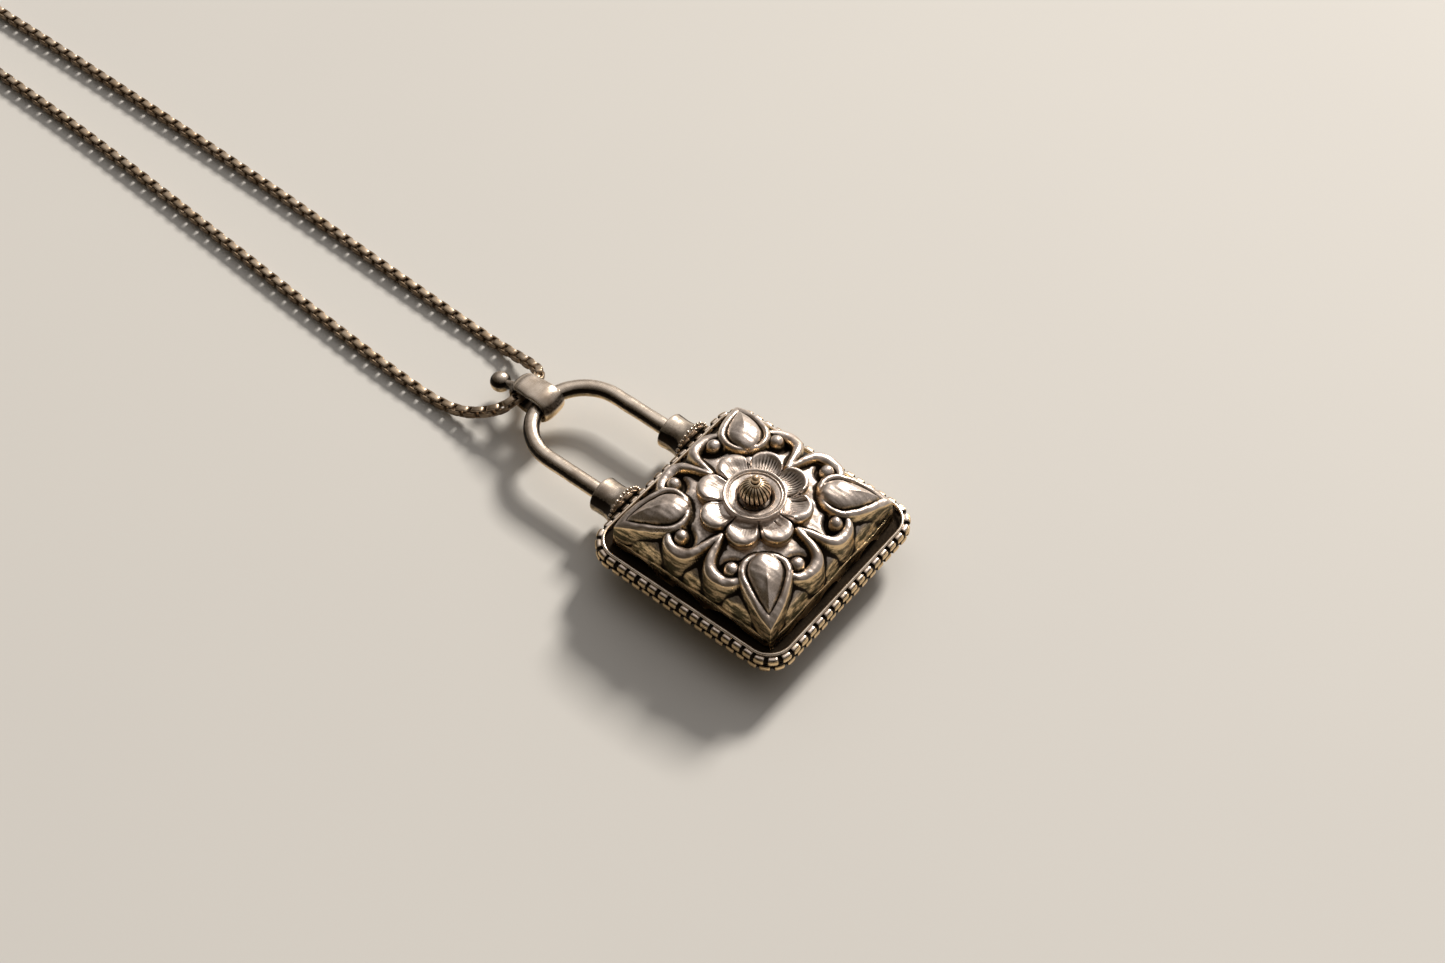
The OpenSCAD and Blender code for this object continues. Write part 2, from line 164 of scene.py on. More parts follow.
def outward(points, faces):
    """The faces of a closed mesh, all turned round if they enclose a negative volume."""
    triangles = np.array([(f[0], f[k], f[k + 1]) for f in faces for k in range(1, len(f) - 1)])
    a, b, c = (points[triangles[:, k]] - points.mean(axis=0) for k in range(3))
    volume = (a * np.cross(b, c)).sum()
    return faces if volume > 0 else [face[::-1] for face in faces]


def make_piece(name, points, faces, body, material, slot, replaces=(), reach=0.5, painted_reflection=None, patina_and_shade=None):
    """A smooth closed mesh from points in millimetres, riding on a body and standing for its CAD nodes."""
    points = np.asarray(points)
    faces = outward(points, [list(face) for face in faces])
    mesh = bpy.data.meshes.new(name)
    mesh.from_pydata((points * MM).tolist(), [], faces)
    mesh.validate()
    mesh.polygons.foreach_set("use_smooth", np.ones(len(mesh.polygons), bool))
    mesh.update()
    mark_wear_and_painted_light(mesh, reach, painted_reflection, patina_and_shade)
    mesh.materials.append(material)
    piece = bpy.data.objects.new(name, mesh)
    bpy.context.scene.collection.objects.link(piece)
    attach(piece, body)
    if replaces:
        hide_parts(*replaces)
    return piece


def closed_grid(points, count, middle):
    """Faces over a square grid of points, closed underneath by a fan round one more point."""
    rim = np.concatenate([
        np.arange(count),
        np.arange(1, count) * count + count - 1,
        (count - 1) * count + np.arange(count - 2, -1, -1),
        np.arange(count - 2, 0, -1) * count,
    ])
    faces = grid_faces(count, count).tolist()
    faces += [[len(points), int(b), int(a)] for a, b in zip(rim, np.roll(rim, -1))]
    return np.concatenate([points, [middle]]), faces


def lathe(profile, steps, centre, axis="z"):
    """Points and faces of a profile of (radius, height) pairs turned round an axis.

    Both of its ends lie on the axis."""
    profile = np.asarray(profile, float)
    angle = np.linspace(0, 2 * math.pi, steps, endpoint=False)
    r, h = profile[1:-1, 0], profile[1:-1, 1]
    ring = np.stack([
        r[:, None] * np.cos(angle),
        r[:, None] * np.sin(angle),
        np.repeat(h[:, None], steps, axis=1),
    ], axis=2).reshape(-1, 3)
    ends = np.array([[0, 0, profile[0, 1]], [0, 0, profile[-1, 1]]])
    points = np.concatenate([ring, ends])
    faces = grid_faces(len(r), steps, wrap_columns=True).tolist()
    first, last = len(ring), len(ring) + 1
    top = (len(r) - 1) * steps
    for k in range(steps):
        faces.append([first, (k + 1) % steps, k])
        faces.append([last, top + k, top + (k + 1) % steps])
    if axis == "y":
        points = points[:, [1, 2, 0]]
    return points + np.asarray(centre), faces


def round_profile(knots, steps=6):
    """A smooth curve through (radius, height) knots."""
    return smooth_curve(np.asarray(knots, float), steps)


def smooth_curve(knots, steps):
    """Catmull-Rom curve through the knots, the same one that the CAD's chain follows."""
    knots = np.asarray(knots, float)
    last = len(knots) - 1
    found = []
    for i in range(last):
        a, b = knots[max(i - 1, 0)], knots[i]
        c, d = knots[i + 1], knots[min(i + 2, last)]
        for k in range(steps):
            t = k / steps
            found.append(0.5 * (2 * b + (c - a) * t + (2 * a - 5 * b + 4 * c - d) * t * t
                                + (3 * b - a - 3 * c + d) * t ** 3))
    return np.array(found + [knots[last]])


def along(line):
    """Distance run from the line's start to each of its points."""
    return np.concatenate([[0], np.cumsum(np.linalg.norm(np.diff(line, axis=0), axis=1))])


def frames(line, up, closed=False):
    """Unit vectors ahead, to the side and up at each point of a line."""
    if closed:
        ahead = unit(np.roll(line, -1, axis=0) - np.roll(line, 1, axis=0))
    else:
        ahead = unit(np.gradient(line, axis=0))
    side = unit(np.cross(ahead, np.broadcast_to(up, line.shape)))
    return ahead, side, np.cross(side, ahead)


def sweep(line, section, up, closed=False, scale=None):
    """Points and faces of a section of (side, up) pairs carried along a line."""
    _, side, lift = frames(line, up, closed)
    section = np.asarray(section, float)
    scale = np.ones(len(line)) if scale is None else scale
    points = (line[:, None, :]
              + (section[None, :, 0] * scale[:, None])[:, :, None] * side[:, None, :]
              + (section[None, :, 1] * scale[:, None])[:, :, None] * lift[:, None, :])
    faces = grid_faces(len(line), len(section), closed, True).tolist()
    if not closed:
        last = (len(line) - 1) * len(section)
        faces.append(list(range(len(section)))[::-1])
        faces.append([last + k for k in range(len(section))])
    return points.reshape(-1, 3), faces


def superellipse(half_a, half_b, power, steps):
    """Points round a rounded square: power 2 is an ellipse, and higher ones are squarer."""
    angle = np.linspace(0, 2 * math.pi, steps, endpoint=False)
    c, s = np.cos(angle), np.sin(angle)
    return np.stack([half_a * np.sign(c) * abs(c) ** (2 / power),
                     half_b * np.sign(s) * abs(s) ** (2 / power)], axis=1)


# ---- materials ------------------------------------------------------------

class Nodes:
    """Short forms for building a material's node tree."""

    def __init__(self, material):
        material.use_nodes = True
        self.tree = material.node_tree
        self.tree.nodes.clear()

    def add(self, kind, inputs=None, **settings):
        node = self.tree.nodes.new(kind)
        for key, value in settings.items():
            setattr(node, key, value)
        for key, value in (inputs or {}).items():
            self.put(node, key, value)
        return node

    def put(self, node, key, value):
        if isinstance(value, bpy.types.NodeSocket):
            self.tree.links.new(value, node.inputs[key])
        else:
            node.inputs[key].default_value = value

    def attribute(self, name):
        return self.add("ShaderNodeAttribute", attribute_name=name).outputs["Fac"]

    def sum(self, operation, a, b, clamp=False):
        return self.add("ShaderNodeMath", {0: a, 1: b}, operation=operation, use_clamp=clamp).outputs[0]

    def mix(self, share, a, b):
        node = self.add("ShaderNodeMix", data_type="RGBA")
        self.put(node, 0, share)
        self.put(node, 6, a)
        self.put(node, 7, b)
        return node.outputs[2]

    def stretch(self, value, low, high, to_low=0.0, to_high=1.0):
        node = self.add("ShaderNodeMapRange", {
            "Value": value, "From Min": low, "From Max": high, "To Min": to_low, "To Max": to_high,
        })
        return node.outputs[0]

    def speckle(self, scale, detail=3.0, rough=0.55, squeeze=(1, 1, 1), turn=(0, 0, 0)):
        place = self.add("ShaderNodeTexCoord").outputs["Object"]
        place = self.add("ShaderNodeMapping", {"Vector": place, "Rotation": turn, "Scale": squeeze})
        node = self.add("ShaderNodeTexNoise", {
            "Vector": place.outputs[0], "Scale": scale, "Detail": detail, "Roughness": rough,
        })
        return node.outputs["Fac"]


def antique_metal(name, bright, tone, painted_reflection, dark, rough, tarnish, grain):
    """Worn metal: bright on ridges, with painted gold and olive reflection where marked, black in hollows
    and in painted shade, scratched and finely pitted.
    """
    material = bpy.data.materials.new(name)
    n = Nodes(material)
    hollow, ridge, side = n.attribute("hollow"), n.attribute("ridge"), n.attribute("painted_reflection")
    clouds = n.speckle(420, 5)
    fine = n.speckle(3800, 4, 0.65)
    scratches = n.sum("MULTIPLY", n.speckle(900, 2, 0.5, (1, 14, 1), (0.2, 0.3, 0.7)),
                      n.speckle(900, 2, 0.5, (14, 1, 1), (0.1, 0.2, 0.4)))
    tinted = n.mix(n.stretch(clouds, 0.35, 0.7), bright, tone)
    streaks = n.speckle(480, 5, 0.65, (1, 1, 3.2), (0.1, 0.1, 0.0))
    # Within the painted reflection, gold is painted in streaks and as a highlight on every ridge, and the
    # flats between them get a painted dark olive reflection
    gold = n.mix(n.sum("ADD", n.stretch(streaks, 0.46, 0.58), ridge, clamp=True), OLIVE, painted_reflection)
    tinted = n.mix(n.sum("MULTIPLY", side, 0.94), tinted, gold)
    lift = n.sum("MULTIPLY", n.stretch(fine, 0.42, 0.62), tarnish)
    # Black patina in hollows and painted shade, with fine tarnish; rubbed ridges stay bright
    soot_and_shade = n.sum("ADD", n.sum("MULTIPLY", hollow, 1.35), lift)
    soot_and_shade = n.sum("SUBTRACT", soot_and_shade, n.sum("MULTIPLY", ridge, 0.6), clamp=True)
    colour = n.mix(soot_and_shade, tinted, dark)
    roughness = n.stretch(clouds, 0.3, 0.75, rough, rough + 0.14)
    roughness = n.sum("ADD", roughness, n.sum("MULTIPLY", soot_and_shade, 0.3))
    roughness = n.sum("ADD", roughness, n.stretch(scratches, 0.2, 0.4, 0.0, 0.1))
    height = n.sum("ADD", n.sum("MULTIPLY", fine, 0.6), n.sum("MULTIPLY", scratches, 0.8))
    bump = n.add("ShaderNodeBump", {"Strength": grain, "Distance": 0.00006, "Height": height})
    shader = n.add("ShaderNodeBsdfPrincipled", {
        "Base Color": colour, "Metallic": 1.0, "Roughness": roughness, "Normal": bump.outputs[0],
    })
    n.add("ShaderNodeOutputMaterial", {"Surface": shader.outputs[0]})
    return material


SILVER = (0.84, 0.73, 0.66, 1)
SILVER_TONE = (0.46, 0.38, 0.32, 1)
# The gold is a painted reflection of the lit floor, the olive a painted reflection of the dark room, and the
# near-black serves for patina and painted shade
GOLD_REFLECTION = (0.86, 0.62, 0.34, 1)
OLIVE = (0.070, 0.056, 0.014, 1)
SOOT_AND_SHADE = (0.020, 0.014, 0.009, 1)
COPPER = (0.95, 0.76, 0.54, 1)
COPPER_TONE = (0.66, 0.45, 0.27, 1)
WIRE = (0.80, 0.69, 0.58, 1)
WIRE_TONE = (0.40, 0.32, 0.25, 1)
TAN = (0.56, 0.45, 0.34, 1)
BRONZE = (0.34, 0.24, 0.15, 1)
# Dark bronze of the painted shade on the chain links' sides
BRONZE_SHADE = (0.15, 0.10, 0.06, 1)

plate_silver = antique_metal("plate_silver", SILVER, SILVER_TONE, GOLD_REFLECTION, SOOT_AND_SHADE, 0.23, 0.32, 0.6)
rim_silver = antique_metal("rim_silver", SILVER, TAN, GOLD_REFLECTION, SOOT_AND_SHADE, 0.22, 0.30, 0.35)
wire_silver = antique_metal("wire_silver", WIRE, WIRE_TONE, GOLD_REFLECTION, SOOT_AND_SHADE, 0.18, 0.25, 0.20)
bead_copper = antique_metal("bead_copper", COPPER, COPPER_TONE, GOLD_REFLECTION, SOOT_AND_SHADE, 0.17, 0.08, 0.15)
chain_silver = antique_metal("chain_silver", TAN, BRONZE, BRONZE_SHADE, SOOT_AND_SHADE, 0.30, 0.30, 0.20)
clasp_silver = antique_metal("clasp_silver", SILVER, SILVER_TONE, GOLD_REFLECTION, SOOT_AND_SHADE, 0.25, 0.15, 0.20)


# ---- chain -------------------------------------------------------------------

LIE_Z = 0.8
CHAIN_D = 1.6
CHAIN_Y = 22.2
MID_Z = 4.2
CLASP_X, CLASP_Y, CLASP_Z = 7.5, 135, 1.55
CLASP_END_Y = 157.3
COIL_X, COIL_Y = -12, 133
S_BEND_R = 3.3
TURN_PITCH = 1.7
TURNS = 1.25
COIL_R = 2 * S_BEND_R + 2 * TURN_PITCH * TURNS

# The route that the CAD's tubes follow: from the coil through the bail to the clasp, and round the back
RUN = [
    (COIL_X + COIL_R, COIL_Y, LIE_Z), (-1.2, 122, LIE_Z), (-1.7, 106, LIE_Z), (-2.6, 90, LIE_Z),
    (-3.8, 74, LIE_Z), (-4.9, 60, LIE_Z), (-5.8, 48, LIE_Z), (-6.3, 39, LIE_Z),
    (-6.4, 32.4, LIE_Z), (-6, 28.2, 1.3), (-5, 25.2, 2.3), (-3.6, 23, 3.5),
    (-1.8, CHAIN_Y, MID_Z), (0, CHAIN_Y, MID_Z), (1.8, CHAIN_Y, MID_Z),
    (3.6, 23.2, 3.5), (4.7, 25.8, 2.3), (5.2, 29.2, 1.3), (5.4, 33.4, LIE_Z),
    (5.6, 40, LIE_Z), (5.9, 49, LIE_Z), (6.4, 61, LIE_Z), (6.9, 75, LIE_Z),
    (7.2, 91, LIE_Z), (7.4, 107, LIE_Z), (7.5, 121, LIE_Z), (7.5, 130, LIE_Z),
    (CLASP_X, CLASP_Y, CLASP_Z),
]
TAIL = [
    (COIL_X - COIL_R, COIL_Y, LIE_Z), (-22.7, 139, LIE_Z), (-20.8, 146, LIE_Z),
    (-16.5, 152.5, LIE_Z), (-10.5, 158, LIE_Z), (-4, 161.8, LIE_Z), (1.5, 163.3, LIE_Z),
    (5.4, 162.4, LIE_Z), (7.2, 160.2, 1.1), (CLASP_X, CLASP_END_Y, CLASP_Z),
]
LINK_PITCH = 1.13
LINK_LONG = 1.83
LINK_WIDE = 1.46
LINK_WIRE = 0.34
LINK_DEEP = 0.78


def arc(x, y, radius, start, stop, steps):
    """Points on a circle, or on a spiral if radius is a pair; angles in degrees."""
    angle = np.radians(np.linspace(start, stop, steps))
    r = np.linspace(*radius, steps) if isinstance(radius, tuple) else np.full(steps, radius)
    return np.stack([x + r * np.cos(angle), y + r * np.sin(angle), np.full(steps, LIE_Z)], axis=1)


def chain_line():
    """From the clasp's far end round the tail, through the double spiral and the bail, to the near end."""
    sweep_angle = 360 * TURNS
    inner = 2 * S_BEND_R
    parts = [
        smooth_curve(TAIL, 12)[::-1],
        arc(COIL_X, COIL_Y, (COIL_R, inner), 180, 180 + sweep_angle, 60),
        arc(COIL_X, COIL_Y - S_BEND_R, S_BEND_R, -90, 90, 20),
        arc(COIL_X, COIL_Y + S_BEND_R, S_BEND_R, 270, 90, 20),
        arc(COIL_X, COIL_Y, (inner, COIL_R), 90, 90 - sweep_angle, 60),
        smooth_curve(RUN, 12),
    ]
    line = np.concatenate(parts)
    keep = np.concatenate([[True], np.linalg.norm(np.diff(line, axis=0), axis=1) > 0.01])
    return line[keep]


def link_mesh():
    """One square link of flat wire: along, side and up coordinates, and its faces."""
    ring = superellipse((LINK_LONG - LINK_WIRE) / 2, (LINK_WIDE - LINK_WIRE) / 2, 5, 20)
    line = np.column_stack([ring, np.zeros(len(ring))])
    section = superellipse(LINK_WIRE / 2, LINK_DEEP / 2, 5, 12)
    return sweep(line, section, (0, 0, 1), closed=True)


def make_chain():
    line = chain_line()
    run = along(line)
    count = int(run[-1] / LINK_PITCH)
    at = (np.arange(count) + 0.5) * run[-1] / count
    centres = np.stack([np.interp(at, run, line[:, k]) for k in range(3)], axis=1)
    ahead, side, lift = frames(centres, (0, 0, 1))
    twist = 0.07 * noise(centres, 25, 3) + np.where(np.arange(count) % 2 == 0, 0, math.pi / 2)
    across = np.cos(twist)[:, None] * side + np.sin(twist)[:, None] * lift
    above = np.cross(across, ahead)
    link, faces = link_mesh()
    points = (centres[:, None, :] + link[None, :, 0, None] * ahead[:, None, :]
              + link[None, :, 1, None] * across[:, None, :] + link[None, :, 2, None] * above[:, None, :])
    faces = (np.asarray(faces)[None] + (np.arange(count) * len(link))[:, None, None]).reshape(-1, 4)
    height = (points[:, :, 2] - centres[:, None, 2]).ravel() / (CHAIN_D / 2)
    # Painted shade: below its top, each link turns dark bronze and olive
    sides = smooth_step(0.92, 0.40, height) * (0.8 + 0.2 * noise(points.reshape(-1, 3), 3, 5))
    chain = make_piece("chain", points.reshape(-1, 3), faces, "chain", chain_silver, "chain_silver",
                       ["chain_run", "chain_tail", "chain_coil"], 0.3, np.clip(sides, 0, 1))


make_chain()


# ---- where the case's parts are, from the CAD parts' boxes ---------------------

band_low, band_high = box_mm("case_band")
CASE_Y = (band_low[1] + band_high[1]) / 2
FOOT_Z = band_high[2]
BACK_Z = band_low[2]
plate_low, plate_high = box_mm("front_plate")
PLATE_HALF = (plate_high[0] - plate_low[0]) / 2 - 0.02
rosette_low, rosette_high = box_mm("rosette")
FIELD_Z = rosette_low[2]
DOME_H = FIELD_Z - FOOT_Z
ROSETTE_H = rosette_high[2] - FIELD_Z


# ---- front plate ---------------------------------------------------------------

GRID = 340
CORNER_PULL = 0.02
DOME_POWER = 6
BUD_IN, BUD_OUT, BUD_W, BUD_WIDEST = 7.2, 16.6, 3.2, 0.31
FRAME_IN, FRAME_W = 0.48, 0.52
RIDGE_IN, RIDGE_W = 1.12, 0.20
BODY_IN, BODY_WIDE, BODY_UP = 1.10, 2.10, 1.15
WALL_SLOPE = 9
# The rolled shoulder low on the walls, and the cove above it, as shares of the half width
SHOULDER_AT, SHOULDER_UP = 0.988, 0.34
COVE_AT, COVE_DEEP = 0.960, 0.58
CREST_TOP, CREST_FALL = 5.55, 0.0345
ZERO_Z = FOOT_Z + 0.75
BALL = (8.96, 3.64)
BALL_R = 0.92
BALL_UP = 4.45
PIT_R, PIT_W, PIT_DEEP = 1.25, 0.42, 0.55
GROUND_PATINA = 0.16
# How far the hand-made outlines wander, and how uneven the hammered surface is
WANDER = 0.13
UNEVEN, UNEVEN_FINE = 0.045, 0.02
PLANISH = 0.03

# One of the eight scrolls, in the eighth of the plate next to +X: place, half width and height
SCROLL = [
    (6.3, 0.05, 0.42, 5.60), (7.6, 0.42, 0.46, 5.55), (9.0, 0.78, 0.56, 5.35), (10.0, 1.3, 0.66, 5.08),
    (10.55, 2.2, 0.74, 4.78), (10.6, 3.4, 0.72, 4.66), (10.2, 4.55, 0.64, 4.68), (9.3, 5.15, 0.50, 4.82),
    (8.15, 4.85, 0.38, 4.95), (7.75, 4.1, 0.30, 4.95),
]


def dome(x, y):
    """The plain crowned square that the ornament is raised from, above its foot."""
    u = np.clip(abs(x) / PLATE_HALF, 0, 1)
    v = np.clip(abs(y) / PLATE_HALF, 0, 1)
    crown = np.sqrt(np.clip((1 - u ** DOME_POWER) * (1 - v ** DOME_POWER), 0, 1))
    edge = np.maximum(u, v)
    shoulder = SHOULDER_UP * np.exp(-((edge - SHOULDER_AT) / 0.007) ** 2) * smooth_step(0, 0.2, crown)
    cove = COVE_DEEP * np.exp(-((edge - COVE_AT) / 0.020) ** 2) * smooth_step(0, 0.3, crown)
    return DOME_H * crown + shoulder - cove


def nearest_on(line, x, y):
    """Distance to the nearest point of a line, and the values interpolated there."""
    best = np.full(x.shape, 1e9)
    values = np.zeros(x.shape + (line.shape[1] - 2,))
    for a, b in zip(line[:-1], line[1:]):
        d = b[:2] - a[:2]
        t = np.clip(((x - a[0]) * d[0] + (y - a[1]) * d[1]) / (d @ d), 0, 1)
        away = np.hypot(x - a[0] - t * d[0], y - a[1] - t * d[1])
        near = away < best
        best[near] = away[near]
        values[near] = (a[2:] + t[..., None] * (b[2:] - a[2:]))[near]
    return best, values


def scroll_height(x, y):
    away, values = nearest_on(smooth_curve(SCROLL, 5), x, y)
    half, top = values[..., 0], values[..., 1]
    share = away / half
    return np.where(share < 1, top - 0.42 * share ** 2.2, top - 0.42 - WALL_SLOPE * (away - half))


def ball_height(x, y):
    away = np.hypot(x - BALL[0], y - BALL[1])
    inside = np.sqrt(np.clip(BALL_R ** 2 - away ** 2, 0, None))
    return np.where(away < BALL_R, BALL_UP + inside, -9.0)


def ball_pit(x, y):
    """The ring-shaped hollow that is punched round each ball."""
    away = np.hypot(x - BALL[0], y - BALL[1])
    return PIT_DEEP * np.exp(-((away - PIT_R) / PIT_W) ** 2)


def bud_half(a):
    """Half the bud's width across the diagonal: round inside, drawn out to a point at the corner."""
    s = np.clip((a - BUD_IN) / (BUD_OUT - BUD_IN), 0, 1)
    inner = np.sqrt(np.clip(1 - ((s - BUD_WIDEST) / BUD_WIDEST) ** 2, 0, 1))
    outer = 1 - np.clip((s - BUD_WIDEST) / (1 - BUD_WIDEST), 0, 1) ** 1.45
    return BUD_W * np.where(s < BUD_WIDEST, inner, outer)


def bud_height(x, y):
    """Raised frame, groove and swelling keeled body of the four buds, one on each diagonal."""
    a, b = (abs(x) + abs(y)) / math.sqrt(2), abs(abs(x) - abs(y)) / math.sqrt(2)
    steps = np.linspace(BUD_IN, BUD_OUT, 40)
    outline = np.stack([steps, bud_half(steps)], axis=1)
    away, _ = nearest_on(outline, a, b)
    inside = (b < bud_half(a)) & (a > BUD_IN) & (a < BUD_OUT)
    depth = np.where(inside, away, -away)
    crest = CREST_TOP - CREST_FALL * (a - 7.6) ** 2
    tip = smooth_step(BUD_OUT - 4.5, BUD_OUT - 1, a)
    pinch = 0.22 * np.exp(-(b / 0.16) ** 2) * smooth_step(BUD_IN + 1.6, BUD_IN + 0.4, a)
    frame_top = crest - pinch - 0.50 * ((depth - FRAME_IN) / FRAME_W) ** 2 * (1 - 0.6 * tip)
    ridge_top = crest - 0.30 - 0.30 * ((depth - RIDGE_IN) / RIDGE_W) ** 2
    floor = crest - 0.40
    # The body is egg-shaped, with a keel that runs out to the point
    body_half = np.clip(bud_half(a) - BODY_IN, 1e-3, None)
    swell = (body_half / BODY_WIDE) ** 0.6 * np.sqrt(np.clip(1 - (b / body_half) ** 2, 0, 1))
    keel = 0.20 * np.exp(-b / 0.30) * smooth_step(9.5, 12, a) * smooth_step(0, 0.3, body_half)
    body = floor + BODY_UP * swell + keel
    top = np.maximum(np.maximum(frame_top, ridge_top), floor)
    top = np.where(b < body_half, np.maximum(body, top), top)
    return np.where(depth < 0, crest - 0.46 - WALL_SLOPE * (-depth), top)


def front_height(x, y):
    """Height of the chased plate above its foot, with every hammered element on it."""
    long, short = np.maximum(abs(x), abs(y)), np.minimum(abs(x), abs(y))
    raised = np.maximum(scroll_height(long, short), ball_height(long, short))
    raised = smooth_max(raised, bud_height(x, y), 0.12) + ZERO_Z - FOOT_Z
    return smooth_max(dome(x, y) - ball_pit(long, short), raised, 0.16)


def make_front_plate():
    spread = np.sin(np.linspace(-math.pi / 2, math.pi / 2, GRID + 1))
    u, v = np.meshgrid(spread, spread, indexing="ij")
    x = PLATE_HALF * u * (1 - CORNER_PULL * abs(v) ** 8)
    y = PLATE_HALF * v * (1 - CORNER_PULL * abs(u) ** 8)
    flat = np.stack([x.ravel(), y.ravel(), np.zeros(x.size)], axis=1)
    hand_x = WANDER * noise(flat, 6, 11).reshape(x.shape)
    hand_y = WANDER * noise(flat, 6, 12).reshape(x.shape)
    height = front_height(PLATE_HALF * u + hand_x, PLATE_HALF * v + hand_y)
    fade = smooth_step(0, 1.5, height)
    uneven = UNEVEN * noise(flat, 1.6, 13) + UNEVEN_FINE * noise(flat, 0.6, 14)
    height = height + fade * uneven.reshape(x.shape)
    points = np.stack([x, y + CASE_Y, np.maximum(height, 0) + FOOT_Z], axis=2).reshape(-1, 3)
    dx = np.gradient(height, axis=0) / np.gradient(x, axis=0)
    dy = np.gradient(height, axis=1) / np.gradient(y, axis=1)
    steep = np.hypot(np.nan_to_num(dx), np.nan_to_num(dy)).ravel()
    # The plain ground between the ornaments is matt and darker, and the walls and every steep face get
    # painted gold and olive reflection
    raised = height - dome(PLATE_HALF * u + hand_x, PLATE_HALF * v + hand_y)
    bare = smooth_step(0.30, 0.05, raised).ravel()
    wall = bare * smooth_step(0.88, 0.94, np.maximum(abs(u), abs(v))).ravel()
    painted_reflection = np.append(np.maximum(smooth_step(0.9, 2.6, steep), wall), 0)
    patina_and_shade = np.append(GROUND_PATINA * bare * (1 - wall), 0)
    points, faces = closed_grid(points, GRID + 1, (0, CASE_Y, FOOT_Z))
    make_piece("chased_front_plate", points, faces, "case", plate_silver, "plate_silver",
               ["front_plate"], 0.55, painted_reflection, patina_and_shade)


make_front_plate()


# ---- back plate ----------------------------------------------------------------

def make_back_plate():
    count = 120
    spread = np.sin(np.linspace(-math.pi / 2, math.pi / 2, count + 1))
    u, v = np.meshgrid(spread, spread, indexing="ij")
    x = PLATE_HALF * u * (1 - CORNER_PULL * abs(v) ** 8)
    y = PLATE_HALF * v * (1 - CORNER_PULL * abs(u) ** 8)
    crown = np.sqrt(np.clip((1 - u ** DOME_POWER) * (1 - v ** DOME_POWER), 0, 1))
    flat = np.stack([x.ravel(), y.ravel(), np.zeros(x.size)], axis=1)
    field = np.minimum(1, 1.35 * crown)
    planish = PLANISH * (1 + noise(flat, 2.4, 21)).reshape(x.shape) * smooth_step(0.9, 1, field)
    z = np.clip(BACK_Z * (1 - field) + planish * smooth_step(0, 1, field), 0, BACK_Z)
    points = np.stack([x, y + CASE_Y, z], axis=2).reshape(-1, 3)
    points, faces = closed_grid(points, count + 1, (0, CASE_Y, BACK_Z))
    # The back's sloping edge gets painted gold and olive reflection
    painted_reflection = np.append(smooth_step(0.2, 0.8, 1 - field.ravel()), 0)
    make_piece("plain_back_plate", points, faces, "case", plate_silver, "plate_silver",
               ["back_plate"], 0.5, painted_reflection)


make_back_plate()


# ---- rosette, cup, ribbed bead and finial ----------------------------------------

PETALS = 8
ROSETTE_R = 6.95
PETAL_R = 2.02
CHASED_LINES, CHASED_DEEP = 96, 0.05
# Fine cracks in the petals: direction in degrees, and the radii between which each runs
CRACKS = [(47.6, 4.3, 6.5), (253, 3.9, 5.0), (304, 4.2, 6.0), (225, 4.6, 6.5)]
CRACK_DEEP, CRACK_W = 0.22, 0.07


def petal_edge(angle):
    """Distance from the middle to the rosette's scalloped outline."""
    sector = 2 * math.pi / PETALS
    off = abs((angle / sector) % 1 - 0.5) * sector
    middle = ROSETTE_R - PETAL_R
    return middle * np.cos(off) + np.sqrt(np.clip(PETAL_R ** 2 - (middle * np.sin(off)) ** 2, 0, None))


